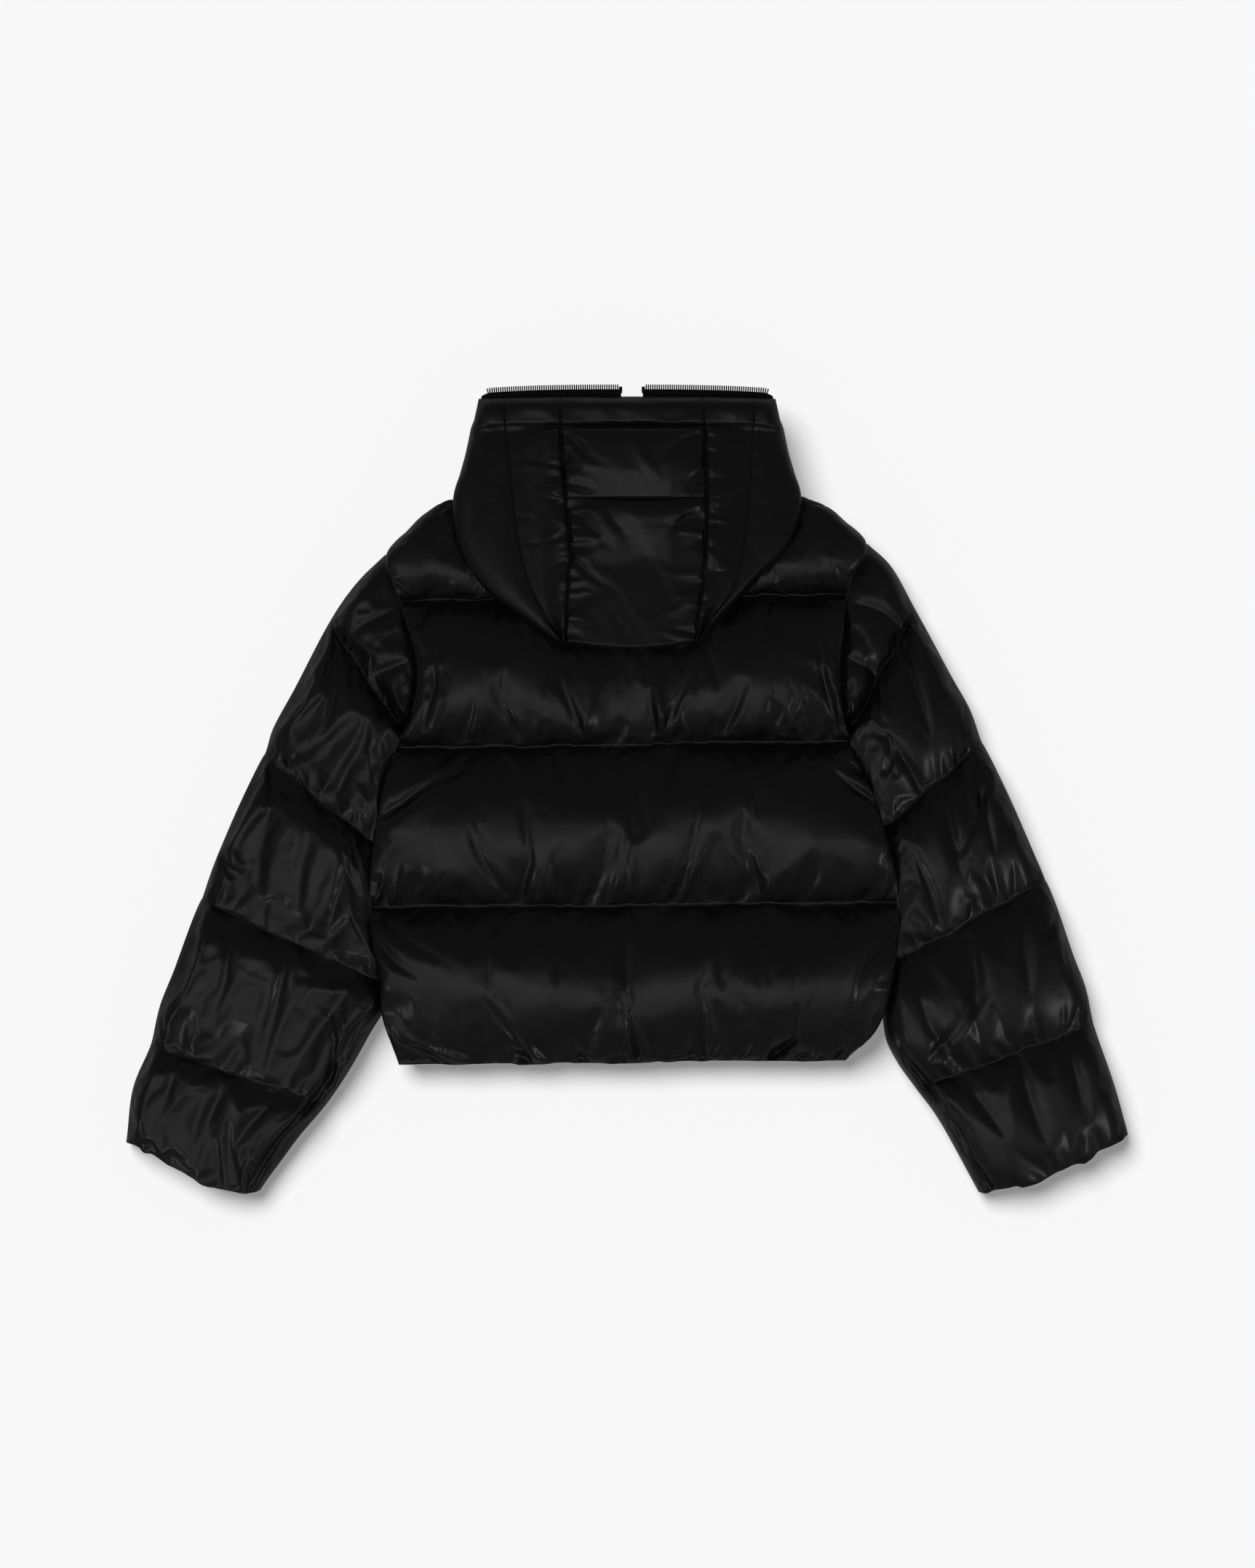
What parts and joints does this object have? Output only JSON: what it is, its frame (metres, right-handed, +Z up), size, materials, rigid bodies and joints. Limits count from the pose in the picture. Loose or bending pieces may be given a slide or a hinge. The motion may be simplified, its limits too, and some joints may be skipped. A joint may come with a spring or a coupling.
{
  "type": "puffer jacket",
  "caption": "Cropped hooded puffer jacket in glossy black nylon, laid flat face down with its hood over its quilted back and its padded sleeves at its sides.",
  "frame": {"origin": "middle of the jacket's box in plan, on the surface it lies on", "axes": "+X towards the wearer's right sleeve (the jacket lies face down), +Y from the hem to the neck, +Z up from the surface"},
  "size_m": [0.954, 0.765, 0.089],
  "materials": {
    "nylon": "glossy, wet-look",
    "tape": "matt woven tape",
    "metal": "polished"
  },
  "bodies": {
    "root": {"back": "nylon", "front_left": "nylon", "front_right": "nylon", "zip_front": "tape", "zip_slider": "metal", "sleeve_left": "nylon", "sleeve_right": "nylon", "hood_under": "nylon", "hood_centre_upper": "nylon", "hood_centre_lower": "nylon", "hood_mid_left": "nylon", "hood_mid_right": "nylon", "hood_side_left": "nylon", "hood_side_right": "nylon", "collar_1": "nylon", "collar_2": "nylon", "collar_3": "nylon", "collar_4": "nylon", "collar_5": "nylon", "zip_tape_left": "tape", "zip_tape_right": "tape"}
  },
  "joints": []
}
